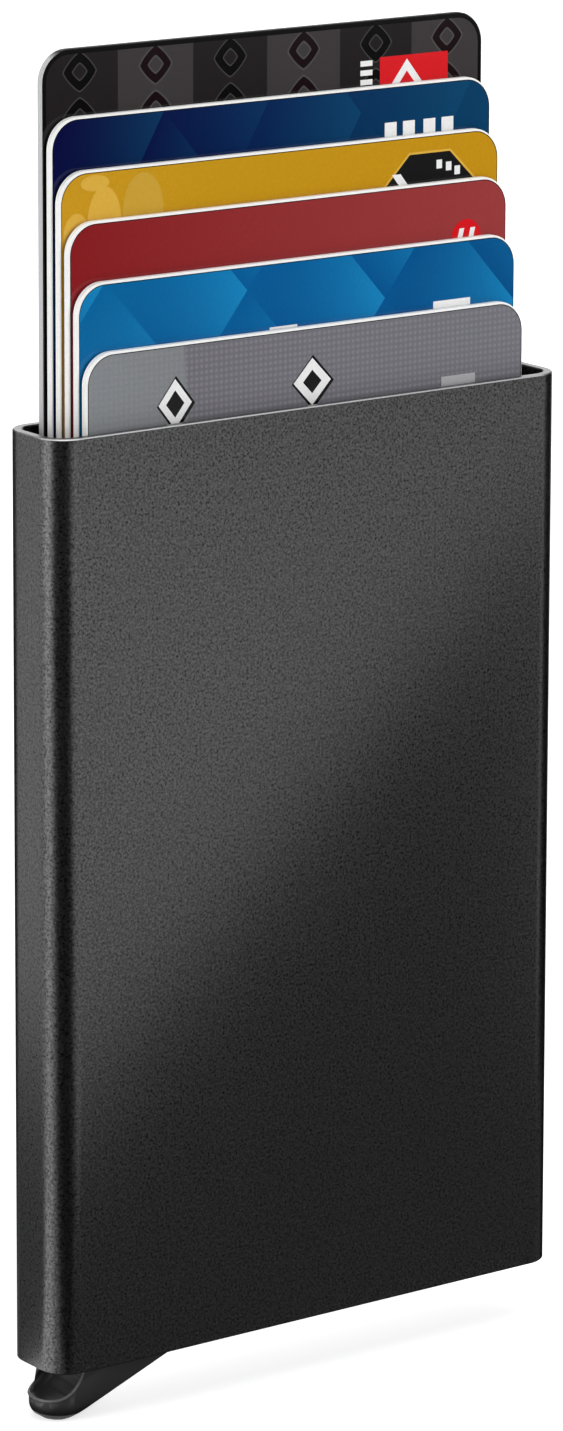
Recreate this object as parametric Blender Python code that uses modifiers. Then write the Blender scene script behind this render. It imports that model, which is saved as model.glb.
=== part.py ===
"""Slim pop-up card case: a metal sleeve, six cards, and a lever that raises them in a staircase.

Metres, +Z up. The case stands upright: X runs across its width, its front faces -Y, and the cards come
out of its top. The origin is at the centre of the whole object's lowest level, the tip of the lever's toe.
"""

import math

import bmesh
import bpy
from mathutils import Matrix, Vector

# Cards, of the usual bank-card size
CARD_COUNT = 6
CARD_WIDTH = 0.05398
CARD_LENGTH = 0.0856
CARD_THICKNESS = 0.00076
CARD_CORNER_RADIUS = 0.00318
CARD_EDGE_BREAK = 0.00006
CARD_GAP = 0.00023
# How far each card, from the rear one to the front one, lies off centre, as a share of the side play
CARD_SIDE_SHARES = (-0.79, -0.57, -0.36, -0.14, 0.08, 0.29)

# Fits
FIT_GAP = 0.00025
CARD_SIDE_PLAY = 0.0016
CUT_OVERRUN = 0.002

# Linings: felt on the broad walls and soft brake strips on the side mouldings
FELT_THICKNESS = 0.00035
FELT_WIDTH = 0.040
FELT_HEIGHT = 0.030
LINING_BELOW_RIM = 0.006
STRIP_THICKNESS = 0.0005
STRIP_HEIGHT = 0.050
STRIP_EDGE_INSET = 0.0003
FRAME_THICKNESS = 0.0009
FRAME_BELOW_RIM = 0.003

# Sleeve
CASE_WALL = 0.001
CASE_CORNER_RADIUS = 0.003
RIM_CHAMFER = 0.00025
CARD_BELOW_RIM = 0.00195

# Lever, measured from its pin
PIN_RADIUS = 0.00075
PIN_INSET = 0.008
PIN_HEIGHT = 0.005
HUB_RADIUS = 0.0022
BOSS_WALL = 0.00035
CHEEK_THICKNESS = 0.001
LEVER_SWING = math.radians(57)
ARM_TIP_HEIGHT = 0.0018
# Reach of the arm's steps under the cards, rear to front, as shares of the whole arm
ARM_STEP_SHARES = (1.0, 0.836, 0.706, 0.584, 0.437, 0.267)
TOE_DROP = 0.0056
TOE_RADIUS = 0.0014
TOE_SIDE_INSET = 0.0003
TOE_LIP_HEIGHT = 0.0023
TOE_LEDGE = 0.0003
TOE_CORNER_RADIUS = 0.0028
TOE_CORE_TAPER = 0.0004
TOE_ROUND_STEPS = 6
RAMP_ANGLE = math.radians(21)
SCOOP_RADIUS = 0.00415
NECK_WALL_GAP = 0.0005
NECK_CORNER_RADIUS = 0.0015
LEVER_EDGE_RADIUS = 0.0003
# How far the hub's web runs into the arm, and how long the flat under the arm's root is, as shares
# of the hub's radius
WEB_ROOT_SHARE = 2.0
ARM_FLAT_SHARE = 1.0
# Height of the pin's cheeks at their root, as a share of the hub's radius: they slope down from the pin,
# so the lever's corner clears them at full press
CHEEK_ROOT_SHARE = 0.55

# Base plug
PLUG_RECESS = 0.0003
FLOOR_THICKNESS = 0.0012
SEAT_BLOCK_WIDTH = 0.0058

# Return spring
SPRING_WIRE = 0.0004
SPRING_COIL_GAP = 0.00045
SPRING_TURNS = 3
SPRING_STUB_SHARE = 1.5

# Fineness of round shapes
CORNER_STEPS = 10
ROUND_STEPS = 28
COIL_STEPS = 14
WELD_DISTANCE = 0.000001
CAP_FLATNESS = math.radians(1)
EDGE_ANGLE = math.radians(40)

# Sizes that follow from the ones above
CARD_PITCH = CARD_THICKNESS + CARD_GAP
STACK_DEPTH = CARD_COUNT * CARD_THICKNESS + (CARD_COUNT - 1) * CARD_GAP
BORE_DEPTH = STACK_DEPTH + 2 * (FELT_THICKNESS + 2 * FIT_GAP)
CASE_DEPTH = BORE_DEPTH + 2 * CASE_WALL
BORE_WIDTH = CARD_WIDTH + 2 * (CARD_SIDE_PLAY + STRIP_THICKNESS + FRAME_THICKNESS + 2 * FIT_GAP)
CASE_WIDTH = BORE_WIDTH + 2 * CASE_WALL
BORE_RADIUS = max(CASE_CORNER_RADIUS - CASE_WALL, FIT_GAP * 2)

CASE_BOTTOM = TOE_DROP
PIN_X = PIN_INSET - CASE_WIDTH / 2
PIN_Z = CASE_BOTTOM + PIN_HEIGHT
SEAT_Z = PIN_Z + HUB_RADIUS
CARD_SEATED_Z = SEAT_Z + FIT_GAP
CASE_TOP = CARD_SEATED_Z + CARD_LENGTH + CARD_BELOW_RIM
CASE_HEIGHT = CASE_TOP - CASE_BOTTOM

# What is pressed into the sleeve keeps the fit gap to its bore
INSERT_WIDTH = BORE_WIDTH - 2 * FIT_GAP
INSERT_DEPTH = BORE_DEPTH - 2 * FIT_GAP
INSERT_RADIUS = BORE_RADIUS - FIT_GAP
FRAME_FACE_X = INSERT_WIDTH / 2 - FRAME_THICKNESS

FLOOR_TOP = CASE_BOTTOM + PLUG_RECESS + FLOOR_THICKNESS
SEAT_BLOCK_X = INSERT_WIDTH / 2 - SEAT_BLOCK_WIDTH
ARM_ROOT_DEPTH = PIN_Z - FLOOR_TOP - FIT_GAP
ARM_RADIUS = SEAT_BLOCK_X - FIT_GAP - PIN_X
ARM_LENGTH = math.sqrt(ARM_RADIUS ** 2 - HUB_RADIUS ** 2)
CHEEK_FACE_Y = INSERT_DEPTH / 2 - CHEEK_THICKNESS
HUB_HALF = CHEEK_FACE_Y - FIT_GAP
LEVER_DEPTH = CARD_COUNT * CARD_PITCH
PIN_BORE_RADIUS = PIN_RADIUS + FIT_GAP
BOSS_RADIUS = PIN_BORE_RADIUS + BOSS_WALL
SPRING_RADIUS = BOSS_RADIUS + FIT_GAP + SPRING_WIRE / 2
SPRING_PITCH = SPRING_WIRE + SPRING_COIL_GAP
SPRING_LENGTH = SPRING_TURNS * SPRING_PITCH + SPRING_WIRE

# The lever's side outline, from its pin: the toe's round centre, and where its ramp meets the case bottom
TOE_X = -PIN_INSET + TOE_SIDE_INSET + TOE_RADIUS
TOE_Z = -PIN_HEIGHT - TOE_DROP + TOE_RADIUS
RAMP_FOOT_X = TOE_X + TOE_RADIUS * math.sin(RAMP_ANGLE)
RAMP_FOOT_Z = TOE_Z - TOE_RADIUS * math.cos(RAMP_ANGLE)
HEEL_X = RAMP_FOOT_X + (-PIN_HEIGHT - RAMP_FOOT_Z) / math.tan(RAMP_ANGLE)
HEEL_REACH = math.hypot(HEEL_X, PIN_HEIGHT)
BAY_EDGE_X = PIN_X + math.sqrt(HEEL_REACH ** 2 - (PIN_Z - FLOOR_TOP) ** 2) + FIT_GAP


def start_scene():
    """Empties the scene and makes the collections for the parts and for the cutters."""
    for obj in list(bpy.data.objects):
        bpy.data.objects.remove(obj)
    for name in ("card_case", "cutters"):
        collection = bpy.data.collections.new(name)
        bpy.context.scene.collection.children.link(collection)


def link(obj, collection):
    bpy.data.collections[collection].objects.link(obj)
    return obj


def as_guide(obj):
    """Marks an object that only shapes others."""
    obj.hide_render = True
    obj.display_type = "WIRE"
    return obj


def material(name, colour, roughness, metallic=0.0):
    """A Principled material, made once for each name."""
    made = bpy.data.materials.get(name)
    if made is None:
        made = bpy.data.materials.new(name)
        made.use_nodes = True
        shader = made.node_tree.nodes["Principled BSDF"]
        shader.inputs["Base Color"].default_value = (*colour, 1.0)
        shader.inputs["Roughness"].default_value = roughness
        shader.inputs["Metallic"].default_value = metallic
    return made


def arc(centre, radius, start, end, steps):
    """Points round an arc, both ends included, with its angles in degrees."""
    points = []
    for step in range(steps + 1):
        angle = math.radians(start + (end - start) * step / steps)
        points.append((centre[0] + radius * math.cos(angle), centre[1] + radius * math.sin(angle)))
    return points


def rounded_rectangle(width, depth, radius):
    """Outline of a rectangle about the origin with round corners."""
    x, y = width / 2 - radius, depth / 2 - radius
    points = []
    for quarter, centre in enumerate(((x, y), (-x, y), (-x, -y), (x, -y))):
        points += arc(centre, radius, 90 * quarter, 90 * quarter + 90, CORNER_STEPS)
    return points


def as_mesh(curve_object):
    """Replaces a curve object by a mesh object of the same name and place, with its caps welded on."""
    name, place = curve_object.name, curve_object.matrix_world.copy()
    collection = curve_object.users_collection[0].name
    evaluated = curve_object.evaluated_get(bpy.context.evaluated_depsgraph_get())
    mesh = bpy.data.meshes.new_from_object(evaluated)
    bpy.data.objects.remove(curve_object)
    bm = bmesh.new()
    bm.from_mesh(mesh)
    bmesh.ops.remove_doubles(bm, verts=bm.verts, dist=WELD_DISTANCE)
    bmesh.ops.dissolve_limit(bm, angle_limit=CAP_FLATNESS, verts=bm.verts, edges=bm.edges)
    bmesh.ops.recalc_face_normals(bm, faces=bm.faces)
    bm.to_mesh(mesh)
    bm.free()
    obj = bpy.data.objects.new(name, mesh)
    obj.matrix_world = place
    return link(obj, collection)


def plate(name, outline, thickness, place, fill="BOTH", collection="card_case"):
    """A flat outline thickened to both sides of its plane, put at a matrix."""
    curve = bpy.data.curves.new(name, "CURVE")
    curve.dimensions = "2D"
    curve.fill_mode = fill
    curve.extrude = thickness / 2
    spline = curve.splines.new("POLY")
    spline.points.add(len(outline) - 1)
    for point, (x, y) in zip(spline.points, outline):
        point.co = (x, y, 0, 1)
    spline.use_cyclic_u = True
    obj = link(bpy.data.objects.new(name, curve), collection)
    obj.matrix_world = place
    bpy.context.view_layer.update()
    return as_mesh(obj)


def flat_at(x, y, z):
    """Place of an outline drawn in X and Y."""
    return Matrix.Translation((x, y, z))


def upright_at(x, y, z):
    """Place of an outline drawn in X and Z, which then faces the front."""
    return Matrix.Translation((x, y, z)) @ Matrix.Rotation(math.radians(90), 4, "X")


def box(name, low, high, collection="card_case"):
    """A box between two corners, with its origin at its centre."""
    bm = bmesh.new()
    size = Vector(high) - Vector(low)
    bmesh.ops.create_cube(bm, size=1.0, matrix=Matrix.Diagonal((*size, 1.0)))
    mesh = bpy.data.meshes.new(name)
    bm.to_mesh(mesh)
    bm.free()
    obj = link(bpy.data.objects.new(name, mesh), collection)
    obj.location = (Vector(low) + Vector(high)) / 2
    return obj


def cross_rod(name, radius, y_low, y_high, collection="card_case"):
    """A round rod along Y on the lever's pin axis, with its origin on that axis."""
    bm = bmesh.new()
    turn = Matrix.Rotation(math.radians(90), 4, "X")
    shift = Matrix.Translation((0, (y_low + y_high) / 2, 0))
    bmesh.ops.create_cone(
        bm, cap_ends=True, segments=ROUND_STEPS, radius1=radius, radius2=radius,
        depth=y_high - y_low, matrix=shift @ turn)
    mesh = bpy.data.meshes.new(name)
    bm.to_mesh(mesh)
    bm.free()
    obj = link(bpy.data.objects.new(name, mesh), collection)
    obj.location = (PIN_X, 0, PIN_Z)
    return obj


def boolean(obj, operand, operation):
    modifier = obj.modifiers.new(operand.name, "BOOLEAN")
    modifier.object = as_guide(operand)
    modifier.operation = operation
    modifier.solver = "EXACT"


def round_edges(obj, width, segments=2):
    modifier = obj.modifiers.new("edges", "BEVEL")
    modifier.width = width
    modifier.segments = segments
    modifier.limit_method = "ANGLE"
    modifier.angle_limit = EDGE_ANGLE


def finish(obj, look):
    """Gives a piece its material and smooth shading on its round stretches."""
    obj.data.materials.clear()
    obj.data.materials.append(look)
    obj.data.shade_smooth()
    obj.data.set_sharp_from_angle(angle=EDGE_ANGLE)


def coated_metal():
    return material("coated_metal", (0.045, 0.045, 0.047), 0.42, 0.6)


def black_plastic():
    return material("black_plastic", (0.02, 0.02, 0.021), 0.5)


def black_felt():
    return material("black_felt", (0.015, 0.015, 0.016), 0.95)


def bare_steel():
    return material("bare_steel", (0.55, 0.55, 0.56), 0.3, 1.0)


def make_housing():
    """The sleeve: its outer wall is drawn as an open band and thickened inwards."""
    outline = rounded_rectangle(CASE_WIDTH, CASE_DEPTH, CASE_CORNER_RADIUS)
    place = flat_at(0, 0, CASE_BOTTOM + CASE_HEIGHT / 2)
    housing = plate("housing", outline, CASE_HEIGHT, place, fill="NONE")
    wall = housing.modifiers.new("wall", "SOLIDIFY")
    wall.thickness = CASE_WALL
    wall.offset = -1
    wall.use_even_offset = True
    round_edges(housing, RIM_CHAMFER, segments=1)
    finish(housing, coated_metal())


def make_bore_guide():
    """The sleeve's bore less the fit gap, which trims everything that is pressed into the sleeve."""
    outline = rounded_rectangle(INSERT_WIDTH, INSERT_DEPTH, INSERT_RADIUS)
    place = flat_at(0, 0, CASE_BOTTOM + CASE_HEIGHT / 2)
    return plate("bore_guide", outline, CASE_HEIGHT, place, collection="cutters")


def make_base_plug(bore_guide):
    """Floor under the lever's arm, and the block that carries the cards' right end."""
    half_depth = INSERT_DEPTH / 2 + CUT_OVERRUN
    right = INSERT_WIDTH / 2 + CUT_OVERRUN
    low = CASE_BOTTOM + PLUG_RECESS
    plug = box("base_plug", (BAY_EDGE_X, -half_depth, low), (right, half_depth, FLOOR_TOP))
    block = box("seat_block", (SEAT_BLOCK_X, -half_depth, low), (right, half_depth, SEAT_Z), "cutters")
    boolean(plug, block, "UNION")
    boolean(plug, bore_guide, "INTERSECT")
    finish(plug, black_plastic())


def make_frame(name, side, bore_guide):
    """A side moulding along one narrow wall; side is -1 on the left and 1 on the right."""
    outer = side * (INSERT_WIDTH / 2 + CUT_OVERRUN)
    inner = side * FRAME_FACE_X
    half_depth = INSERT_DEPTH / 2 + CUT_OVERRUN
    low = PIN_Z - HUB_RADIUS if side < 0 else SEAT_Z + FIT_GAP
    high = CASE_TOP - FRAME_BELOW_RIM
    frame = box(name, (min(outer, inner), -half_depth, low), (max(outer, inner), half_depth, high))
    if side < 0:
        add_pin_cheeks(frame)
    boolean(frame, bore_guide, "INTERSECT")
    finish(frame, black_plastic())


def add_pin_cheeks(frame):
    """Two cheeks on the left moulding that carry the pin on both sides of the lever's hub."""
    root = -FRAME_FACE_X - FRAME_THICKNESS / 2 - PIN_X
    outline = arc((0, 0), HUB_RADIUS, -90, 90, ROUND_STEPS // 2)
    outline += [(root, HUB_RADIUS * CHEEK_ROOT_SHARE), (root, -HUB_RADIUS)]
    for name, side in (("front_cheek", -1), ("rear_cheek", 1)):
        y = side * (CHEEK_FACE_Y + CHEEK_THICKNESS / 2)
        place = upright_at(PIN_X, y, PIN_Z)
        boolean(frame, plate(name, outline, CHEEK_THICKNESS, place, collection="cutters"), "UNION")
    reach = CASE_DEPTH / 2
    boolean(frame, cross_rod("cheek_drill", PIN_BORE_RADIUS, -reach, reach, "cutters"), "DIFFERENCE")


def make_linings():
    """Brake strips on the side mouldings and felt pads on the broad walls."""
    top = CASE_TOP - LINING_BELOW_RIM
    half_strip = STACK_DEPTH / 2 - STRIP_EDGE_INSET
    for name, side in (("left_brake_strip", -1), ("right_brake_strip", 1)):
        near = side * (FRAME_FACE_X - FIT_GAP)
        far = side * (FRAME_FACE_X - FIT_GAP - STRIP_THICKNESS)
        low = (min(near, far), -half_strip, top - STRIP_HEIGHT)
        finish(box(name, low, (max(near, far), half_strip, top)), black_felt())
    for name, side in (("front_felt_pad", -1), ("rear_felt_pad", 1)):
        near = side * INSERT_DEPTH / 2
        far = side * (INSERT_DEPTH / 2 - FELT_THICKNESS)
        low = (-FELT_WIDTH / 2, min(near, far), top - FELT_HEIGHT)
        finish(box(name, low, (FELT_WIDTH / 2, max(near, far), top)), black_felt())


def step_reach(index):
    """Length of the lever arm's step under one card, from the pin."""
    return ARM_LENGTH * ARM_STEP_SHARES[index]


def card_lift(index):
    """How far a full press of the lever raises a card: the rise of the top corner of its step."""
    swing = LEVER_SWING
    return step_reach(index) * math.sin(swing) + HUB_RADIUS * (math.cos(swing) - 1)


def card_y(index):
    """Middle of a card's thickness, counted from the rear card."""
    return (STACK_DEPTH - CARD_THICKNESS) / 2 - index * CARD_PITCH


def make_cards():
    """Six cards in a staircase, each as high as the lever has pushed it."""
    colours = ((0.02, 0.02, 0.022), (0.01, 0.06, 0.2), (0.5, 0.27, 0.02),
               (0.25, 0.02, 0.025), (0.02, 0.2, 0.45), (0.2, 0.2, 0.21))
    outline = rounded_rectangle(CARD_WIDTH, CARD_LENGTH, CARD_CORNER_RADIUS)
    for index in range(CARD_COUNT):
        x = CARD_SIDE_PLAY * CARD_SIDE_SHARES[index]
        z = CARD_SEATED_Z + card_lift(index) + CARD_LENGTH / 2
        name = f"card_{index + 1}"
        card = plate(name, outline, CARD_THICKNESS, upright_at(x, card_y(index), z))
        round_edges(card, CARD_EDGE_BREAK, segments=1)
        finish(card, material(f"{name}_print", colours[index], 0.35))


def lever_side_outline():
    """The lever's full-width outline: arm, heel, ramp, toe, lip and scoop, clear of the pin's cheeks."""
    clear_radius = HUB_RADIUS + FIT_GAP
    top_angle = math.degrees(math.asin(HUB_RADIUS / clear_radius))
    lip_x, lip_z = TOE_X - TOE_RADIUS, -PIN_HEIGHT - TOE_DROP + TOE_LIP_HEIGHT
    scoop_centre = (lip_x, lip_z + SCOOP_RADIUS)
    outline = [(ARM_LENGTH, HUB_RADIUS), (ARM_LENGTH, HUB_RADIUS - ARM_TIP_HEIGHT)]
    flat_end = HEEL_X + HUB_RADIUS * ARM_FLAT_SHARE
    outline += [(flat_end, -ARM_ROOT_DEPTH), (HEEL_X, -ARM_ROOT_DEPTH), (HEEL_X, -PIN_HEIGHT)]
    outline += arc((TOE_X, TOE_Z), TOE_RADIUS, math.degrees(RAMP_ANGLE) - 90, -90, CORNER_STEPS // 3)
    outline += arc((TOE_X, TOE_Z), TOE_RADIUS, -90, -180, CORNER_STEPS)[1:]
    outline += arc(scoop_centre, SCOOP_RADIUS, -90, 0, CORNER_STEPS)
    outline += arc((0, 0), clear_radius, -90, top_angle, ROUND_STEPS // 2)
    return outline


def make_lever():
    """The one-piece lever: a wide body with a stepped arm, a round-cornered toe, a narrow hub and a neck."""
    place = upright_at(PIN_X, 0, PIN_Z)
    lever = plate("eject_lever", lever_side_outline(), LEVER_DEPTH, place)
    round_edges(lever, LEVER_EDGE_RADIUS)
    boolean(lever, make_toe_guide(), "INTERSECT")
    boolean(lever, make_toe_core(), "UNION")

    web_depth = 2 * HUB_HALF - SPRING_LENGTH - FIT_GAP
    web_y = -HUB_HALF + web_depth / 2
    joint_x = HUB_RADIUS * WEB_ROOT_SHARE
    web_outline = arc((0, 0), HUB_RADIUS, 90, 270, ROUND_STEPS // 2)
    web_outline += [(joint_x, -HUB_RADIUS), (joint_x, HUB_RADIUS - ARM_TIP_HEIGHT / 2)]
    web = plate("hub_web", web_outline, web_depth, upright_at(PIN_X, web_y, PIN_Z), collection="cutters")
    boolean(lever, web, "UNION")

    neck_length = PIN_INSET - CASE_WALL - NECK_WALL_GAP
    neck_outline = rounded_rectangle(neck_length, 2 * HUB_HALF, NECK_CORNER_RADIUS)
    bottom, top = PIN_Z + TOE_Z + TOE_RADIUS, PIN_Z - HUB_RADIUS - 2 * FIT_GAP
    neck_place = flat_at(PIN_X - neck_length / 2, 0, (bottom + top) / 2)
    neck = plate("lever_neck", neck_outline, top - bottom, neck_place, collection="cutters")
    boolean(lever, neck, "UNION")

    boss = cross_rod("hub_boss", BOSS_RADIUS, web_y, HUB_HALF, "cutters")
    boolean(lever, boss, "UNION")
    boolean(lever, make_step_cutter(), "DIFFERENCE")
    reach = CASE_DEPTH / 2
    boolean(lever, cross_rod("lever_drill", PIN_BORE_RADIUS, -reach, reach, "cutters"), "DIFFERENCE")
    finish(lever, black_plastic())


def make_toe_guide():
    """Block as long as the whole lever, with the toe's round corners in plan and its round lower edge."""
    left = PIN_X + TOE_X - TOE_RADIUS
    right = PIN_X + ARM_LENGTH + TOE_CORNER_RADIUS + CUT_OVERRUN
    outline = rounded_rectangle(right - left, LEVER_DEPTH, TOE_CORNER_RADIUS)
    height = 2 * PIN_Z + FIT_GAP / 2
    guide = plate("toe_guide", outline, height, flat_at((left + right) / 2, 0, PIN_Z), collection="cutters")
    round_edges(guide, TOE_RADIUS, TOE_ROUND_STEPS)
    return guide


def make_toe_core():
    """Block that fills the scoop below the case's mouth, but for a ledge along the toe's lip.

    It narrows towards the mouth, so the scoop's wall leans back from the lip, and its lower side follows
    the ramp.
    """
    left = PIN_X + TOE_X - TOE_RADIUS + TOE_LEDGE
    right = left + SCOOP_RADIUS + TOE_CORNER_RADIUS
    bottom, top = PIN_Z + TOE_Z, CASE_BOTTOM - FIT_GAP
    outline = rounded_rectangle(right - left, LEVER_DEPTH - 2 * TOE_LEDGE, TOE_CORNER_RADIUS - TOE_LEDGE)
    place = flat_at((left + right) / 2, 0, (bottom + top) / 2)
    core = plate("toe_core", outline, top - bottom, place, collection="cutters")
    half_length, half_depth = (right - left) / 2, LEVER_DEPTH / 2 - TOE_LEDGE
    for vertex in core.data.vertices:
        if vertex.co.z > 0:
            vertex.co.x *= 1 - TOE_CORE_TAPER / half_length
            vertex.co.y *= 1 - TOE_CORE_TAPER / half_depth
        else:
            vertex.co.z += (vertex.co.x + half_length) * math.tan(RAMP_ANGLE)
    round_edges(core, LEVER_EDGE_RADIUS)
    return core


def make_step_cutter():
    """Staircase in plan that cuts the arm's front down to the rear step, one card pitch at a time."""
    front = -LEVER_DEPTH / 2 - CUT_OVERRUN
    end = ARM_LENGTH + CUT_OVERRUN
    outline = [(end, front), (end, LEVER_DEPTH / 2 - CARD_PITCH)]
    for index in range(1, CARD_COUNT):
        y = LEVER_DEPTH / 2 - index * CARD_PITCH
        next_y = y - CARD_PITCH if index < CARD_COUNT - 1 else front
        outline += [(step_reach(index), y), (step_reach(index), next_y)]
    height = 2 * (PIN_HEIGHT + HUB_RADIUS)
    return plate("arm_steps", outline, height, flat_at(PIN_X, 0, PIN_Z), collection="cutters")


def make_pin():
    half = INSERT_DEPTH / 2
    finish(cross_rod("pivot_pin", PIN_RADIUS, -half, half), bare_steel())


def spring_route():
    """Torsion spring round the hub's boss: a leg to the left moulding, the coil, a leg to the lever."""
    coil_start = HUB_HALF - SPRING_WIRE / 2
    steps = round(SPRING_TURNS * COIL_STEPS)
    left_end = -FRAME_FACE_X + FIT_GAP - PIN_X
    route = [(left_end, coil_start, SPRING_RADIUS)]
    for step in range(steps + 1):
        turn = SPRING_TURNS * step / steps
        angle = math.pi / 2 - 2 * math.pi * turn
        y = coil_start - SPRING_PITCH * turn
        route.append((SPRING_RADIUS * math.cos(angle), y, SPRING_RADIUS * math.sin(angle)))
    route.append((SPRING_WIRE * SPRING_STUB_SHARE, route[-1][1], SPRING_RADIUS))
    return route


def make_spring():
    curve = bpy.data.curves.new("return_spring", "CURVE")
    curve.dimensions = "3D"
    curve.bevel_depth = SPRING_WIRE / 2
    curve.bevel_resolution = 2
    curve.use_fill_caps = True
    spline = curve.splines.new("POLY")
    route = spring_route()
    spline.points.add(len(route) - 1)
    for point, place in zip(spline.points, route):
        point.co = (*place, 1)
    spring = link(bpy.data.objects.new("return_spring", curve), "card_case")
    spring.location = (PIN_X, 0, PIN_Z)
    bpy.context.view_layer.update()
    finish(as_mesh(spring), bare_steel())


def main():
    start_scene()
    bore_guide = make_bore_guide()
    make_housing()
    make_base_plug(bore_guide)
    make_frame("left_frame", -1, bore_guide)
    make_frame("right_frame", 1, bore_guide)
    make_linings()
    make_pin()
    make_lever()
    make_spring()
    make_cards()


main()
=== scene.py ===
"""Looks of a slim pop-up card case: coated sleeve, six printed cards, eject lever and a plain studio.

Metres, +Z up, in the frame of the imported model: X runs across the case, its front faces -Y and the cards
come out of its top. Sizes that a user would change are properties, and each group of pieces has an operator.
"""

import math
from collections import namedtuple

import bmesh
import bpy
from mathutils import Matrix, Vector


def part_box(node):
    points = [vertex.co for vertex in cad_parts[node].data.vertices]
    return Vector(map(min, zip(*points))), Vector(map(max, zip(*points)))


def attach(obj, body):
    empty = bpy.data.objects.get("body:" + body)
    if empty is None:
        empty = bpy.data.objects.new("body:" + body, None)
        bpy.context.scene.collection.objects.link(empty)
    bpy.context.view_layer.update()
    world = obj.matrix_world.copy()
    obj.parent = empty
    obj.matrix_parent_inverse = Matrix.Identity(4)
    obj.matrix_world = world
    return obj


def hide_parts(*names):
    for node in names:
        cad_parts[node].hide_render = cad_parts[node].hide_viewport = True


bl_info = {
    "name": "Slim card case",
    "version": (1, 0, 0),
    "blender": (4, 5, 0),
    "location": "3D View > Sidebar > Card case",
    "description": "Makes the looks of a pop-up card case: sleeve, cards, lever, linings and studio",
    "category": "Object",
}

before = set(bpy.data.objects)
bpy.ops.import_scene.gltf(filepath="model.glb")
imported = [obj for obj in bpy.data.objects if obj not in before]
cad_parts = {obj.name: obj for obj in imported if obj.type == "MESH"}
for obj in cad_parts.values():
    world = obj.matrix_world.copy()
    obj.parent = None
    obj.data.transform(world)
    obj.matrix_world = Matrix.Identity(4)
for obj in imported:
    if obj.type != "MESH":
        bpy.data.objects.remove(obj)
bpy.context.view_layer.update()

MM = 0.001
CARD_COUNT = 6
CARD_NAMES = tuple(f"card_{number + 1}" for number in range(CARD_COUNT))
CARD_BODIES = ("first_card", "second_card", "third_card", "fourth_card", "fifth_card", "sixth_card")

# Faces that meet at less than the first angle are shaded smooth, and at less than the second are joined
SMOOTH_BELOW = math.radians(35)
FLAT_WITHIN = math.radians(1)
# Points nearer than this are welded, and slivers narrower than this are taken out
WELD_DISTANCE, SLIVER_WIDTH = 0.001 * MM, 0.01 * MM
# A face of the hollowed lever with a larger area than this is shaded flat
BROAD_FACE = (2.0 * MM) ** 2

# Sockets of a colour mix, which share their names with its other kinds
MIX_FACTOR, MIX_A, MIX_B, MIX_RESULT = 0, 6, 7, 2
# The wave texture repeats once in this length at a scale of 1
WAVE_LENGTH = math.tau / 20

# The rear card's ink on its cut edge: its colour, how far below the top it starts and how softly
DRAGGED_INK = "#080808"
INK_START, INK_FADE = 0.8 * MM, 0.6 * MM
# How much of its margin a card's print has slipped towards the lower right corner
PRINT_SLIP = 0.9
# The colour of each card's back, at its left edge and at its right edge
BACK_COLOURS = (("#232224", "#1b1a1c"), ("#0a2a55", "#08213f"), ("#c9c2a8", "#bdb495"),
                ("#7d2226", "#6d1c20"), ("#dfe3e6", "#cfd6db"), ("#6c6c70", "#606064"))

# Each ink's colour, roughness and metallic value
INKS = {
    "bright_red": ("#d8121c", 0.16, 0.0),
    "white": ("#f4f4f4", 0.16, 0.0),
    "black": ("#0e0e0f", 0.16, 0.0),
    "pale_gold": ("#cda236", 0.16, 0.0),
    "light_gold": ("#dfb042", 0.16, 0.0),
    "silver_ink": ("#b4b4b8", 0.3, 0.0),
    "contact_gold": ("#d9b565", 0.28, 1.0),
    "contact_gap": ("#4a3a1c", 0.6, 0.0),
    "magnetic_tape": ("#17120f", 0.32, 0.0),
    "signature_paper": ("#e9e7df", 0.75, 0.0),
}

# Marks on each card's front: ink, kind of outline, middle across from the left edge and down from the top,
# width and height, all in millimetres, lean in degrees, and the share left open in the middle
Mark = namedtuple("Mark", "ink kind across down wide high lean hole", defaults=(0.0, 0.0))
MARKS = (
    [Mark("bright_red", "bar", 45.3, 6.5, 8.6, 5.4), Mark("white", "lozenge", 44.4, 6.6, 3.8, 4.8, hole=0.5),
     *[Mark("white", "bar", 39.3, down, 1.5, 0.55) for down in (4.3, 5.25, 6.2, 7.15)]],
    [Mark("white", "bar", across, 6.3, 1.5, 5.0) for across in (41.3, 43.6, 46.2, 48.5)],
    [Mark("light_gold", "oval", 5.3, 5.2, 4.0, 7.0), Mark("pale_gold", "oval", 9.9, 4.6, 4.9, 7.8),
     Mark("light_gold", "oval", 4.2, 1.3, 3.4, 1.6), Mark("light_gold", "oval", 2.0, 6.2, 3.0, 4.2),
     Mark("light_gold", "octagon", 45.2, 8.1, 13.8, 13.8), Mark("black", "octagon", 45.2, 8.1, 13.3, 13.3),
     Mark("white", "bar", 41.8, 4.9, 1.1, 2.2, -38),
     *[Mark("white", "bar", across, down, 0.7, 0.9)
       for across, down in ((46.4, 3.2), (47.6, 3.5), (48.7, 4.0))]],
    [Mark("bright_red", "oval", 48.8, 6.0, 3.8, 3.8),
     *[Mark("white", "bar", across, 5.6, 0.6, 1.2, 14) for across in (48.1, 49.5)]],
    [Mark("white", "bar", 24.8, 7.5, 3.4, 1.8), Mark("white", "bar", 45.9, 7.1, 4.7, 2.0)],
    # Each black lozenge here, a little right of and below its white one, is the painted shadow of a raised
    # mark
    [Mark("black", "lozenge", 10.7, 6.1, 4.6, 5.8), Mark("white", "lozenge", 10.6, 6.0, 4.0, 5.0, hole=0.55),
     Mark("black", "lozenge", 27.4, 5.7, 5.2, 5.6), Mark("white", "lozenge", 27.3, 5.6, 4.6, 4.8, hole=0.5),
     Mark("silver_ink", "bar", 45.7, 7.6, 4.3, 1.3)],
)
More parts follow.
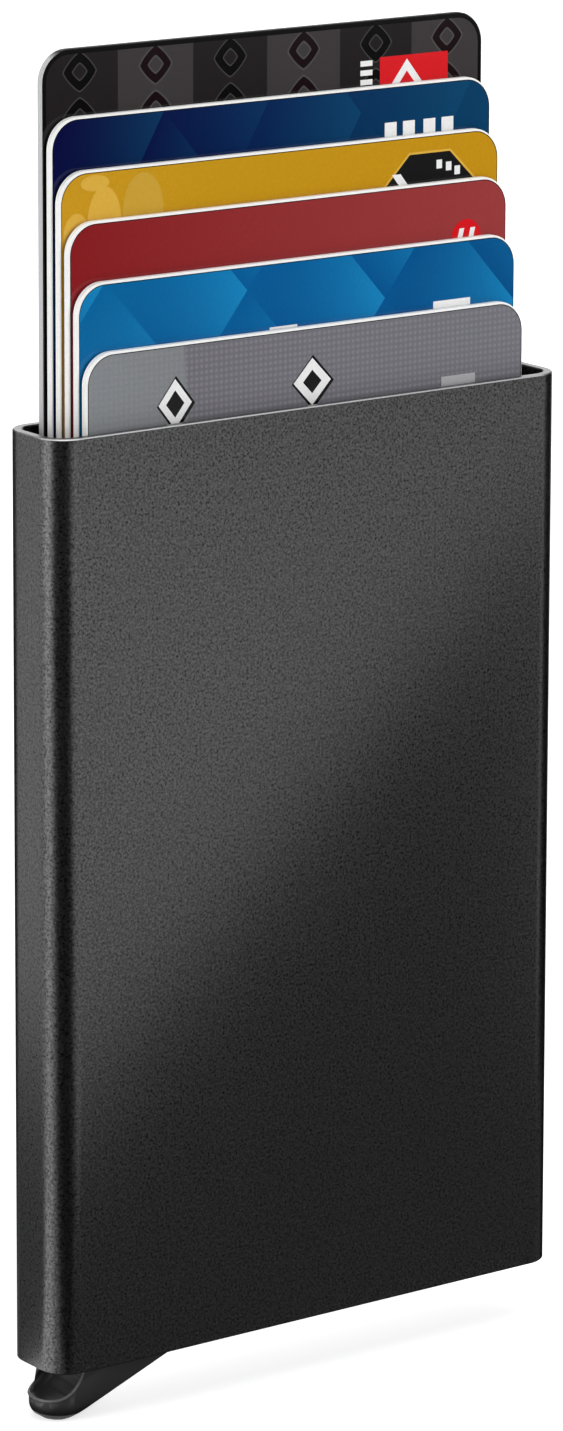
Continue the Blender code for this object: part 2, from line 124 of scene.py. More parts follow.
# How many corners these kinds of outline have, and the turn of the first corner
CORNERS = {"lozenge": (4, 0.0), "octagon": (8, math.pi / 8), "oval": (40, 0.0)}

# The cards with a chip, its contact plate, and the gaps, so many millimetres wide, that part it into eight
# pads. Their places from its middle and their lengths are shares of its width and height, and they stand
# this many times as high as the plate's own film.
CHIP_CARDS = (1, 3, 4, 5)
PLATE = Mark("contact_gold", "plate", 30.1, 15.1, 11.4, 12.6)
PLATE_CORNER, PLATE_CORNER_STEPS = 1.2 * MM, 8
CHIP_GAP = 0.18
ROW_DOWN_SHARES, ROW_ACROSS_SHARE, ROW_WIDE_SHARE = (-0.25, 0.0, 0.25), 0.33, 0.32
COLUMN_ACROSS_SHARE, COLUMN_HIGH_SHARE = 0.17, 0.9
GAP_RISE = 1.5

# The backs of the cards, in millimetres: the tape's width, its way in from the side and what is left of it
# at both ends together, then the signature panel's sizes, its way from the tape, and its height on the card
TAPE_WIDE, TAPE_INSET, TAPE_SHORTER = 12.7, 4.5, 0.4
PANEL_WIDE, PANEL_HIGH, PANEL_FROM_TAPE, PANEL_DOWN_SHARE = 9.0, 58.0, 16.0, 0.45

# The dish in the lever's toe: its lip's height above the toe's lowest level, its floor's radius and the
# share of it that runs along the lever, the wall left behind it, the rounding of its rear end, how far
# above the sleeve's lower edge it ends, and the points along its floor
LIP_HEIGHT = 2.18 * MM
DISH_RADIUS = 4.27 * MM
DISH_REACH = 0.96
DISH_REAR_WALL = 1.0 * MM
DISH_ROUNDING = 0.9 * MM
DISH_ABOVE = 0.3 * MM
DISH_STEPS = 24
# The bead along that lip: the radius of the toe's corners, its own radius, how far it is sunk in, its
# steps along each stretch and its sides
TOE_CORNER = 2.8 * MM
LIP_RADIUS = 0.17 * MM
LIP_INSET = 0.05 * MM
LIP_STEPS = 12
LIP_SIDES = 10

# The floor's side, its glow near the case, how far away it starts to glow more and where it is wholly white
FLOOR_SIZE = 6.0
FLOOR_GLOW = 0.62
NEAR_GLOW, FAR_GLOW = 0.25, 0.75

# Boards that shape what the gloss shows. Each stands on an arc round the case, in strips about a step wide:
# its first and last turn, in degrees from straight in front to the right, its distance and its height
Board = namedtuple("Board", "name first last distance height")
BLACK_BOARDS = (
    Board("camera_board", -78, -9, 0.66, 0.60),
    Board("right_board", 62, 118, 0.50, 0.55),
    Board("rear_left_board", 158, 208, 0.50, 0.55),
)
BOARD_STEP = 6.0
# Cards laid on the floor, each a step above the last: how strongly it glows, and the turn and distance of
# its corners
FloorCard = namedtuple("FloorCard", "name glow corners")
CLOTH_GLOW = 0.19
FLOOR_CARDS = (
    FloorCard("camera_card", 0.0, ((-72, 0.03), (-72, 0.66), (-9, 0.66), (-9, 0.012))),
    FloorCard("right_card", 0.0, ((62, 0.10), (62, 0.50), (90, 0.50), (118, 0.50), (118, 0.02))),
    FloorCard("rear_left_card", 0.0, ((158, 0.02), (158, 0.50), (183, 0.50), (208, 0.50), (210, 0.04))),
    FloorCard("far_front_card", 0.0, ((24, 0.47), (24, 1.20), (46, 1.20), (46, 0.47))),
    FloorCard("left_cloth", CLOTH_GLOW, ((210, 0.16), (225, 0.15), (245, 0.13), (258, 0.08), (262, 0.04),
                                         (210, 0.03))),
    FloorCard("left_reflector", 2.7, ((-84, 0.036), (-84, 0.40), (-106, 0.40), (-106, 0.036))),
    FloorCard("case_shade", 0.0, ((100, 0.034), (80, 0.034), (-80, 0.034), (-100, 0.034))),
    FloorCard("front_cloth", CLOTH_GLOW, ((-83, 0.034), (-26, 0.078), (57, 0.13), (88, 0.11))),
)
FLOOR_CARD_STEP = 0.1 * MM
# A grey flag in front of the sleeve, for the slanting shade at its lower right: corners across and up,
# in millimetres, and how far in front of the case's middle it stands
FLAG = ((70, 84), (-34, -2), (-34, -4), (70, -4))
FLAG_AHEAD = 42 * MM

# Softboxes: where each stands round the case, its turn and its height in degrees, its distance, width and
# height in millimetres, and its radiance
Softbox = namedtuple("Softbox", "name turn height distance wide tall radiance")
SOFTBOXES = (
    Softbox("front_softbox", 24, 24, 560, 380, 420, 3.6),
    Softbox("left_softbox", -93, 10, 480, 230, 420, 4.4),
    Softbox("back_softbox", 150, 40, 700, 500, 500, 2.6),
    Softbox("top_softbox", 0, 86, 620, 420, 420, 1.2),
)

# The photograph's height and its lens's focal length, in pixels, the long side of the camera's sensor, and
# how near the camera starts to see
PHOTO_HEIGHT = 1431
FOCAL_PIXELS = 6178
SENSOR_LENGTH = 36.0
CLIP_START = 10 * MM


def linear(code):
    """An sRGB hex colour as linear red, green and blue."""
    shares = [int(code[start:start + 2], 16) / 255 for start in (1, 3, 5)]
    return tuple(share / 12.92 if share <= 0.04045 else ((share + 0.055) / 1.055) ** 2.4 for share in shares)


def tinted(colour, strength=1.0):
    """A linear colour as a node's colour value, made lighter or darker."""
    return (*[strength * part for part in colour], 1.0)


def solid(code):
    """An sRGB hex colour as a node's colour value."""
    return tinted(linear(code))


class SleeveLook(bpy.types.PropertyGroup):
    """Sizes and finish of the drawn sleeve."""
    wall: bpy.props.FloatProperty(
        name="Wall", description="Thickness of the sleeve's wall", default=1.0 * MM, unit="LENGTH")
    corner_radius: bpy.props.FloatProperty(
        name="Corner radius", description="Radius of the sleeve's upright corners, outside",
        default=3.0 * MM, unit="LENGTH")
    rim_cut: bpy.props.FloatProperty(
        name="Rim cut", description="Width of the slanted cut round the sleeve's ends",
        default=0.11 * MM, unit="LENGTH")
    corner_steps: bpy.props.IntProperty(
        name="Corner steps", description="Faces round each upright corner", default=24, min=4)
    coat: bpy.props.FloatVectorProperty(
        name="Coat", description="Colour of the coat", subtype="COLOR", default=linear("#080809"))
    grain: bpy.props.FloatProperty(
        name="Grain", description="Width of the coat's grains", default=0.26 * MM, unit="LENGTH")


class CardLook(bpy.types.PropertyGroup):
    """Sizes and finish that all the cards share."""
    corner_radius: bpy.props.FloatProperty(
        name="Corner radius", description="Radius of a card's corners", default=3.18 * MM, unit="LENGTH")
    edge_break: bpy.props.FloatProperty(
        name="Edge break", description="Width of the worn slant round a card's cut edge",
        default=0.09 * MM, unit="LENGTH")
    print_margin: bpy.props.FloatProperty(
        name="Print margin", description="White sliver left along the top and left of the print",
        default=0.15 * MM, unit="LENGTH")
    ink: bpy.props.FloatProperty(
        name="Ink", description="Height of a printed or stamped mark above the card's face",
        default=0.015 * MM, unit="LENGTH")
    corner_steps: bpy.props.IntProperty(
        name="Corner steps", description="Faces round each corner of a card", default=16, min=4)
    # The dark lines round the cards' faces are painted shade along their edges
    border: bpy.props.FloatProperty(
        name="Border", description="Width of the dark line printed round a card's face",
        default=0.09 * MM, unit="LENGTH")
    rear_border: bpy.props.FloatProperty(
        name="Rear border", description="Width of the black line printed round the rear card's face",
        default=0.45 * MM, unit="LENGTH")
    core: bpy.props.FloatVectorProperty(
        name="Core", description="Colour of the plastic between the prints", subtype="COLOR",
        default=linear("#fafaf8"))
    # The rear card's core is painted grey as shade on its cut edge
    rear_core_painted_shade: bpy.props.FloatVectorProperty(
        name="Rear core", description="Colour of the plastic between the rear card's prints",
        subtype="COLOR", default=linear("#c8c8ca"))


class MouldingLook(bpy.types.PropertyGroup):
    """Finish of the lever and of the mouldings inside the sleeve."""
    plastic: bpy.props.FloatVectorProperty(
        name="Plastic", description="Colour of the moulded plastic", subtype="COLOR",
        default=linear("#131314"))
    # The lip's pale colour is a painted highlight along the bead
    painted_lip_highlight: bpy.props.FloatVectorProperty(
        name="Rubbed plastic", description="Colour of the lever's lip, rubbed pale by the thumb",
        subtype="COLOR", default=linear("#4a4a4c"))
    spark_grain: bpy.props.FloatProperty(
        name="Spark grain", description="Width of the pits that the mould's surface leaves",
        default=0.22 * MM, unit="LENGTH")
    felt: bpy.props.FloatVectorProperty(
        name="Felt", description="Colour of the felt and of the brake strips", subtype="COLOR",
        default=linear("#1a1a1b"))


class StageLook(bpy.types.PropertyGroup):
    """Where the camera stands, and how bright the studio is."""
    turn: bpy.props.FloatProperty(
        name="Turn", description="How far the camera looks to the right of straight ahead",
        default=math.radians(36.135), subtype="ANGLE")
    tilt: bpy.props.FloatProperty(
        name="Tilt", description="How far the camera looks down",
        default=math.radians(10.691), subtype="ANGLE")
    roll: bpy.props.FloatProperty(
        name="Roll", description="How far the camera leans", default=math.radians(0.169), subtype="ANGLE")
    distance: bpy.props.FloatProperty(
        name="Distance", description="From the camera to the point it aims at",
        default=616.93 * MM, unit="LENGTH")
    aim: bpy.props.FloatVectorProperty(
        name="Aim", description="The point the camera aims at", subtype="TRANSLATION", unit="LENGTH",
        default=(-0.93 * MM, 0.0, 104.86 * MM))
    shift: bpy.props.FloatProperty(
        name="Shift", description="Upright shift of the lens, as a share of the photograph's height",
        default=-0.25)
    fill: bpy.props.FloatProperty(
        name="Fill", description="Strength of the light from all round", default=0.35)


def add_node(tree, kind, inputs=None, stops=(), **settings):
    """Adds one node. Inputs are values or the outputs linked to them, and stops are a ramp's colours."""
    node = tree.nodes.new(kind)
    for name, value in settings.items():
        setattr(node, name, value)
    for name, value in (inputs or {}).items():
        if isinstance(value, bpy.types.NodeSocket):
            tree.links.new(value, node.inputs[name])
        else:
            node.inputs[name].default_value = value
    for index, (place, colour) in enumerate(stops):
        elements = node.color_ramp.elements
        stop = elements[index] if index < len(elements) else elements.new(place)
        stop.position = place
        stop.color = colour
    return node


def start_material(name, **values):
    """A material with its shader's plain values set, its node tree, and where on the piece a point is."""
    made = bpy.data.materials.new(name)
    made.use_nodes = True
    tree = made.node_tree
    shader = tree.nodes["Principled BSDF"]
    for socket, value in values.items():
        shader.inputs[socket.replace("_", " ")].default_value = value
    place = add_node(tree, "ShaderNodeTexCoord").outputs["Object"]
    return made, tree, shader, place


def vary_finish(tree, shader, place, size, stops=(), gloss=(), relief=(), **settings):
    """Lets noise of this size run a shader's colour through a ramp's stops, its roughness and its relief.

    Gloss is the lowest and the highest roughness, and relief is the bump's strength and its depth.
    """
    pattern = add_node(tree, "ShaderNodeTexNoise", {
        "Vector": place, "Scale": 1 / size, **settings}).outputs["Fac"]
    if stops:
        shade = add_node(tree, "ShaderNodeValToRGB", {"Fac": pattern}, stops=stops)
        tree.links.new(shade.outputs["Color"], shader.inputs["Base Color"])
    if gloss:
        least, most = gloss
        rough = add_node(tree, "ShaderNodeMapRange", {"Value": pattern, "To Min": least, "To Max": most})
        tree.links.new(rough.outputs["Result"], shader.inputs["Roughness"])
    if relief:
        strength, depth = relief
        bump = add_node(tree, "ShaderNodeBump", {"Height": pattern, "Strength": strength, "Distance": depth})
        tree.links.new(bump.outputs["Normal"], shader.inputs["Normal"])
    return pattern


def powder_coat(look):
    """Satin powder coat baked on steel: near-black, with fine even grains that break up its sheen."""
    made, tree, shader, place = start_material("satin_powder_coat", IOR=1.6)
    cloud_size = 14 * MM
    grains = vary_finish(tree, shader, place, look.grain, Detail=3.0, Roughness=0.65,
                         relief=(0.25, 0.03 * MM),
                         stops=((0.36, tinted(look.coat, 0.6)), (0.64, tinted(look.coat, 1.4))))
    clouds = add_node(tree, "ShaderNodeTexNoise", {"Vector": place, "Scale": 1 / cloud_size, "Detail": 2.0})
    cloudy = add_node(tree, "ShaderNodeMapRange", {
        "Value": clouds.outputs["Fac"], "From Min": 0.3, "From Max": 0.7, "To Min": -0.01, "To Max": 0.01})
    grainy = add_node(tree, "ShaderNodeMapRange", {
        "Value": grains, "From Min": 0.3, "From Max": 0.7, "To Min": 0.26, "To Max": 0.34})
    gloss = add_node(tree, "ShaderNodeMath", {0: cloudy.outputs["Result"], 1: grainy.outputs["Result"]},
                     operation="ADD")
    sparkle = add_node(tree, "ShaderNodeMapRange", {
        "Value": grains, "From Min": 0.35, "From Max": 0.65, "To Min": 0.22, "To Max": 0.78})
    tree.links.new(gloss.outputs["Value"], shader.inputs["Roughness"])
    tree.links.new(sparkle.outputs["Result"], shader.inputs["Specular IOR Level"])
    return made


def cut_steel():
    """Bare steel, cut at a slant through the coat: bright, with the cutter's fine marks."""
    made, tree, shader, place = start_material("cut_steel_rim", Metallic=1.0)
    mark_size = 0.05 * MM
    vary_finish(tree, shader, place, mark_size, gloss=(0.28, 0.42),
                stops=((0.3, solid("#9a9a9d")), (0.7, solid("#d2d2d3"))))
    return made


def moulded_plastic(look, name, colour):
    """Glass-filled nylon from a spark-eroded mould: dull, with shallow pits."""
    made, tree, shader, place = start_material(name, IOR=1.53)
    vary_finish(tree, shader, place, look.spark_grain, Detail=2.0, gloss=(0.42, 0.58),
                relief=(0.3, 0.03 * MM), stops=((0.0, tinted(colour)), (1.0, tinted(colour, 1.5))))
    return made


def pressed_felt(look):
    """Pressed wool felt: black, without shine, with a pale fuzz of short fibres."""
    made, tree, shader, place = start_material("pressed_felt", Roughness=0.95, Sheen_Weight=0.35)
    fibre_width, fibre_stretch = 0.12 * MM, 0.25
    squeeze = add_node(tree, "ShaderNodeMapping", {"Vector": place, "Scale": (1.0, 1.0, fibre_stretch)})
    vary_finish(tree, shader, squeeze.outputs["Vector"], fibre_width, Detail=4.0, Distortion=1.2,
                relief=(0.6, 0.08 * MM), stops=((0.0, tinted(look.felt)), (1.0, tinted(look.felt, 2.2))))
    return made


def drawn_steel():
    """Drawn spring steel: grey and bright, with the die's fine marks."""
    made, tree, shader, place = start_material("drawn_steel", Metallic=1.0)
    mark_size = 0.06 * MM
    vary_finish(tree, shader, place, mark_size, Detail=3.0, gloss=(0.24, 0.36),
                stops=((0.3, solid("#8f9194")), (0.7, solid("#b4b6b8"))))
    return made


def card_core(name, core, inked_from=None):
    """White rigid PVC, punched out of its sheet: a faintly streaked, half-dull cut edge.

    Where a height is given, dark ink that the punch has dragged along covers the edge from there up.
    """
    made, tree, shader, place = start_material(name, Roughness=0.6, Specular_IOR_Level=0.2)
    streak_width, streak_stretch = 0.2 * MM, 0.15
    squeeze = add_node(tree, "ShaderNodeMapping", {"Vector": place, "Scale": (1.0, streak_stretch, 1.0)})
    streaks = add_node(tree, "ShaderNodeTexNoise", {
        "Vector": squeeze.outputs["Vector"], "Scale": 1 / streak_width, "Detail": 2.0})
    shade = add_node(tree, "ShaderNodeValToRGB", {"Fac": streaks.outputs["Fac"]},
                     stops=((0.0, tinted(core)), (1.0, tinted(core, 0.88)))).outputs["Color"]
    if inked_from is not None:
        height = add_node(tree, "ShaderNodeSeparateXYZ", {"Vector": place}).outputs["Z"]
        inked = add_node(tree, "ShaderNodeMapRange", {
            "Value": height, "From Min": inked_from, "From Max": inked_from + INK_FADE})
        shade = add_node(tree, "ShaderNodeMix", {
            MIX_FACTOR: inked.outputs["Result"], MIX_A: shade, MIX_B: solid(DRAGGED_INK)},
            data_type="RGBA").outputs[MIX_RESULT]
    tree.links.new(shade, shader.inputs["Base Color"])
    return made


def ramp_across(tree, place, width, *stops):
    """A ground colour that changes from a card's left edge, a share of 0, to its right edge, 1."""
    spread = add_node(tree, "ShaderNodeMapping", {
        "Vector": place, "Location": (0.5, 0.0, 0.0), "Scale": (1 / width, 0.0, 0.0)})
    across = add_node(tree, "ShaderNodeTexGradient", {"Vector": spread.outputs["Vector"]})
    return add_node(tree, "ShaderNodeValToRGB", {"Fac": across.outputs["Fac"]},
                    stops=[(share, solid(code)) for share, code in stops]).outputs["Color"]


def crossed_beams(tree, place, ground, spacings, leans, share, light):
    """Lays slanting beams of light, which cross in flat-sided facets, over a ground colour."""
    for spacing, lean in zip(spacings, leans):
        turned = add_node(tree, "ShaderNodeMapping", {"Vector": place, "Rotation": (0.0, lean, 0.0)})
        beams = add_node(tree, "ShaderNodeTexWave", {
            "Vector": turned.outputs["Vector"], "Scale": WAVE_LENGTH / spacing},
            bands_direction="X", wave_profile="SAW")
        share = add_node(tree, "ShaderNodeMath", {0: beams.outputs["Fac"], 1: share},
                         operation="MULTIPLY").outputs["Value"]
    return add_node(tree, "ShaderNodeMix", {MIX_FACTOR: share, MIX_A: ground, MIX_B: solid(light)},
                    data_type="RGBA").outputs[MIX_RESULT]


def banded_print(tree, place, width):
    """Charcoal bands, light and dark by turns, with a column of stars down each in painted light and shade.
    """
    band_count, relief = 6, 0.06
    band_width = width / band_count
    centred = add_node(tree, "ShaderNodeMapping", {
        "Vector": place, "Location": (band_width / 2, 0.0, 0.0), "Scale": (1.0, 0.0, 1.0)}).outputs["Vector"]
    bands = add_node(tree, "ShaderNodeTexWave", {
        "Vector": centred, "Scale": WAVE_LENGTH / (2 * band_width)}, bands_direction="X")
    ground = add_node(tree, "ShaderNodeValToRGB", {"Fac": bands.outputs["Fac"]},
                      stops=((0.0, solid("#1e1a1b")), (0.5, solid("#3a3637"))))
    ground.color_ramp.interpolation = "CONSTANT"
    stars = add_node(tree, "ShaderNodeTexVoronoi", {
        "Vector": centred, "Scale": 2 / band_width, "Exponent": 1.25, "Randomness": 0.0},
        distance="MINKOWSKI")
    # Greys for the stars' flat ground, their painted highlight and their painted shade
    level, painted_highlight_grey, painted_shade_grey = (tinted((1.0, 1.0, 1.0), grey) for grey in (0.5, 0.9, 0.2))
    painted_relief_shading = add_node(tree, "ShaderNodeValToRGB", {"Fac": stars.outputs["Distance"]}, stops=(
        (0.16, level), (0.19, painted_highlight_grey), (0.22, painted_shade_grey), (0.40, painted_shade_grey), (0.43, painted_highlight_grey), (0.46, level)))
    columns = add_node(tree, "ShaderNodeTexWave", {
        "Vector": centred, "Scale": WAVE_LENGTH / band_width, "Phase Offset": math.pi}, bands_direction="X")
    strength = add_node(tree, "ShaderNodeMapRange", {
        "Value": columns.outputs["Fac"], "From Min": 0.48, "From Max": 0.52, "To Max": relief})
    return add_node(tree, "ShaderNodeMix", {
        MIX_FACTOR: strength.outputs["Result"], MIX_A: ground.outputs["Color"],
        MIX_B: painted_relief_shading.outputs["Color"]},
        data_type="RGBA", blend_type="LINEAR_LIGHT", clamp_result=True).outputs[MIX_RESULT]


def night_blue_print(tree, place, width):
    """Navy that turns to a mid blue on the right, with faint slanting facets."""
    ground = ramp_across(tree, place, width, (0.1, "#02023a"), (0.45, "#021f4e"), (0.92, "#053a60"))
    return crossed_beams(tree, place, ground, spacings=(17 * MM, 11 * MM),
                         leans=(math.radians(40), math.radians(-30)), share=0.24, light="#14608a")


def gold_print(tree, place, width):
    """Flat mustard gold, a little lighter at the left."""
    return ramp_across(tree, place, width, (0.0, "#c9961f"), (0.35, "#c19118"), (1.0, "#c08d14"))


def dark_red_print(tree, place, width):
    """Dark red that turns a little greyer to the right."""
    return ramp_across(tree, place, width, (0.0, "#861c20"), (0.45, "#8e2e30"), (1.0, "#973b3c"))


def sky_blue_print(tree, place, width):
    """Clear blue under large pale facets."""
    ground = ramp_across(tree, place, width, (0.0, "#06639c"), (0.5, "#055592"), (1.0, "#074d84"))
    return crossed_beams(tree, place, ground, spacings=(15 * MM, 11 * MM),
                         leans=(math.radians(-38), math.radians(42)), share=0.7, light="#1c8fc8")


def dotted_grey_print(tree, place, width):
    """Slate grey under a screen of fine dots, with a paler field left of a slanted line."""
    dot_pitch, line_lean = 0.6 * MM, math.radians(4)
    pale_share, line_share = 0.27, 0.005
    turned = add_node(tree, "ShaderNodeMapping", {"Vector": place, "Rotation": (0.0, line_lean, 0.0)})
    ground = ramp_across(tree, turned.outputs["Vector"], width, (0.0, "#84888b"), (pale_share, "#7d8083"),
                         (pale_share + line_share, "#6d6c72"), (1.0, "#727178"))
    flat = add_node(tree, "ShaderNodeMapping", {"Vector": place, "Scale": (1.0, 0.0, 1.0)})
    dots = add_node(tree, "ShaderNodeTexVoronoi", {
        "Vector": flat.outputs["Vector"], "Scale": 1 / dot_pitch, "Randomness": 0.0})
    screen = add_node(tree, "ShaderNodeMapRange", {
        "Value": dots.outputs["Distance"], "From Min": 0.2, "From Max": 0.45, "To Min": 0.5, "To Max": 0.0})
    return add_node(tree, "ShaderNodeMix", {
        MIX_FACTOR: screen.outputs["Result"], MIX_A: ground, MIX_B: solid("#8b8a91")},
        data_type="RGBA").outputs[MIX_RESULT]


FRONT_PRINTS = (banded_print, night_blue_print, gold_print, dark_red_print, sky_blue_print,
                dotted_grey_print)


def laminated_print(name, lay_colour):
    """Offset print under a clear pressed laminate: even gloss with faint orange peel over mottled ink."""
    made, tree, shader, place = start_material(name, Roughness=0.12, Specular_IOR_Level=0.24)
    peel_size, mottle_size = 1.6 * MM, 0.35 * MM
    vary_finish(tree, shader, place, peel_size, relief=(0.1, 0.02 * MM))
    mottle = add_node(tree, "ShaderNodeTexNoise", {"Vector": place, "Scale": 1 / mottle_size, "Detail": 2.0})
    shade = add_node(tree, "ShaderNodeMapRange", {
        "Value": mottle.outputs["Fac"], "To Min": 0.9, "To Max": 1.1})
    toned = add_node(tree, "ShaderNodeVectorMath", {
        0: lay_colour(tree, place), "Scale": shade.outputs["Result"]}, operation="SCALE")
    tree.links.new(toned.outputs["Vector"], shader.inputs["Base Color"])
    return made


def front_print(number, width):
    """The print on the front of a card, in the design of that card."""
    return laminated_print(f"{CARD_NAMES[number]}_front_print",
                           lambda tree, place: FRONT_PRINTS[number](tree, place, width))


def back_print(number, width):
    """The plain print on the back of a card."""
    left, right = BACK_COLOURS[number]
    return laminated_print(f"{CARD_NAMES[number]}_back_print",
                           lambda tree, place: ramp_across(tree, place, width, (0.0, left), (1.0, right)))


def painted_shade_line_print():
    """Painted shade: the dark line round a card's face, under the same laminate as its print."""
    return laminated_print("painted_shade_line_print", lambda tree, place: linear("#030303"))


def stamped_ink(name, code, roughness, metallic):
    """Ink or foil laid on a card: a thin even film with a fine crackle."""
    made, tree, shader, place = start_material(name, Metallic=metallic, Specular_IOR_Level=0.25)
    crackle_size = 0.25 * MM
    vary_finish(tree, shader, place, crackle_size, Detail=4.0, gloss=(0.8 * roughness, 1.2 * roughness),
                stops=((0.0, solid(code)), (1.0, tinted(linear(code), 0.86))))
    return made


def rounded_outline(width, height, radius, steps):
    """Points round a rectangle with round corners, counterclockwise from its right side."""
    x, y = width / 2 - radius, height / 2 - radius
    points = []
    for quarter, (sign_x, sign_y) in enumerate(((1, 1), (-1, 1), (-1, -1), (1, -1))):
        for step in range(steps + 1):
            angle = math.radians(90) * (quarter + step / steps)
            points.append((sign_x * x + radius * math.cos(angle), sign_y * y + radius * math.sin(angle)))
    return points


def round_outline(wide, high, corners, start=0.0):
    """Points round an oval, or round a figure with few corners."""
    turns = [start + math.tau * corner / corners for corner in range(corners)]
    return [(wide / 2 * math.cos(turn), high / 2 * math.sin(turn)) for turn in turns]


def mark_outline(mark):
    """A mark's outer outline about its middle, in metres."""
    wide, high = mark.wide * MM, mark.high * MM
    if mark.kind == "bar":
        lean = high / 2 * math.tan(math.radians(mark.lean))
        return [(wide / 2 + lean, high / 2), (-wide / 2 + lean, high / 2),
                (-wide / 2 - lean, -high / 2), (wide / 2 - lean, -high / 2)]
    if mark.kind == "plate":
        return rounded_outline(wide, high, PLATE_CORNER, PLATE_CORNER_STEPS)
    return round_outline(wide, high, *CORNERS[mark.kind])


def new_object(name, bm, materials, origin=(0.0, 0.0, 0.0)):
    """Turns a new mesh into an object with its origin at a point, smooth where it is round."""
    mesh = bpy.data.meshes.new(name)
    bmesh.ops.recalc_face_normals(bm, faces=bm.faces)
    bm.to_mesh(mesh)
    bm.free()
    for made in materials:
        mesh.materials.append(made)
    mesh.shade_smooth()
    mesh.set_sharp_from_angle(angle=SMOOTH_BELOW)
    piece = bpy.data.objects.new(name, mesh)
    bpy.context.scene.collection.objects.link(piece)
    piece.location = origin
    return piece


def bridge(bm, loop, next_loop, material_index):
    """Faces between two loops of as many points."""
    for index in range(len(loop)):
        after = (index + 1) % len(loop)
        face = bm.faces.new((loop[index], loop[after], next_loop[after], next_loop[index]))
        face.material_index = material_index


def make_sleeve(look):
    """The drawn sleeve: one wall profile carried round its outline, with a bright cut round the mouth."""
    low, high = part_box("housing")
    size = high - low
    cut, wall = look.rim_cut, look.wall
    coated, bare = 0, 1
    # How far in from the outer wall, the height, and the finish from there to the next one
    profile = (
        (0.0, low.z + cut, coated), (0.0, high.z - cut, bare), (cut, high.z, coated),
        (wall - cut, high.z, coated), (wall, high.z - cut, coated), (wall, low.z + cut, coated),
        (wall - cut, low.z, coated), (cut, low.z, coated),
    )
    bm = bmesh.new()
    loops = []
    for inset, z, _ in profile:
        outline = rounded_outline(size.x - 2 * inset, size.y - 2 * inset, look.corner_radius - inset,
                                  look.corner_steps)
        loops.append([bm.verts.new((x, y, z)) for x, y in outline])
    for (_, _, finish), loop, next_loop in zip(profile, loops, loops[1:] + loops[:1]):
        bridge(bm, loop, next_loop, finish)
    sleeve = new_object("sleeve", bm, (powder_coat(look), cut_steel()))
    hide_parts("housing")
    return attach(sleeve, "case")


def make_card(number, look, core, painted_shade_line):
    """One card: a pale core with a broken edge, a front print in a line of painted shade, and a back print.

    The front print lies a hair to the right and low, so a white sliver shows at its top and left. The
    rear card's print bleeds to its edges instead.
    """
    name = CARD_NAMES[number]
    low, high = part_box(name)
    size, middle = high - low, (low + high) / 2
    bleeds = number == 0
    # The dark line between the margin and the print is painted shade along the card's edge
    margin, border = (0.0, look.rear_border) if bleeds else (look.print_margin / 2, look.border)
    slip = margin * PRINT_SLIP
    front, back, pale, line = range(4)
    edge = look.edge_break
    # How far in from the cut, the depth, the shift of the print, and the finish from there to the next
    loops_wanted = (
        (edge, size.y / 2, 0.0, pale),
        (0.0, size.y / 2 - edge, 0.0, pale),
        (0.0, edge - size.y / 2, 0.0, pale),
        *(() if bleeds else ((edge, -size.y / 2, 0.0, pale),)),
        (edge + margin, -size.y / 2, slip, line),
        (edge + margin + border, -size.y / 2, slip, front),
    )
    bm = bmesh.new()
    loops = []
    for inset, y, shift, _ in loops_wanted:
        outline = rounded_outline(size.x - 2 * inset, size.z - 2 * inset, look.corner_radius - inset,
                                  look.corner_steps)
        loops.append([bm.verts.new((x + shift, y, z - shift)) for x, z in outline])
    for (_, _, _, finish), loop, next_loop in zip(loops_wanted, loops, loops[1:]):
        bridge(bm, loop, next_loop, finish)
    bm.faces.new(loops[-1]).material_index = front
    bm.faces.new(loops[0]).material_index = back
    if bleeds:
        # The rear card's core is grey as painted shade on its cut edge, with dark ink at the top
        core = card_core("inked_pvc_core_with_painted_shade", look.rear_core_painted_shade, size.z / 2 - INK_START)
    finishes = (front_print(number, size.x), back_print(number, size.x), core, painted_shade_line)
    card = new_object(f"{name}_laminate", bm, finishes, middle)
    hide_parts(name)
    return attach(card, CARD_BODIES[number])


def add_prism(bm, outline, hole, near, far, material_index):
    """A thin film with this outline, and with a hole if one is given, between two depths."""
    top, base = ([bm.verts.new((x, y, z)) for x, z in outline] for y in (far, near))
    bridge(bm, base, top, material_index)
    if hole:
        inner_top, inner_base = ([bm.verts.new((x, y, z)) for x, z in hole] for y in (far, near))
        bridge(bm, top, inner_top, material_index)
        bridge(bm, inner_top, inner_base, material_index)
        bridge(bm, inner_base, base, material_index)
    else:
        for loop in (top, base):
            bm.faces.new(loop).material_index = material_index


def chip_gaps():
    """The gaps that part the contact plate into eight pads."""
    gaps = []
    for share in ROW_DOWN_SHARES:
        for side in (-1, 1):
            gaps.append(Mark("contact_gap", "bar", PLATE.across + side * PLATE.wide * ROW_ACROSS_SHARE,
                             PLATE.down + PLATE.high * share, PLATE.wide * ROW_WIDE_SHARE, CHIP_GAP))
    for side in (-1, 1):
        gaps.append(Mark("contact_gap", "bar", PLATE.across + side * PLATE.wide * COLUMN_ACROSS_SHARE,
                         PLATE.down, CHIP_GAP, PLATE.high * COLUMN_HIGH_SHARE))
    return gaps


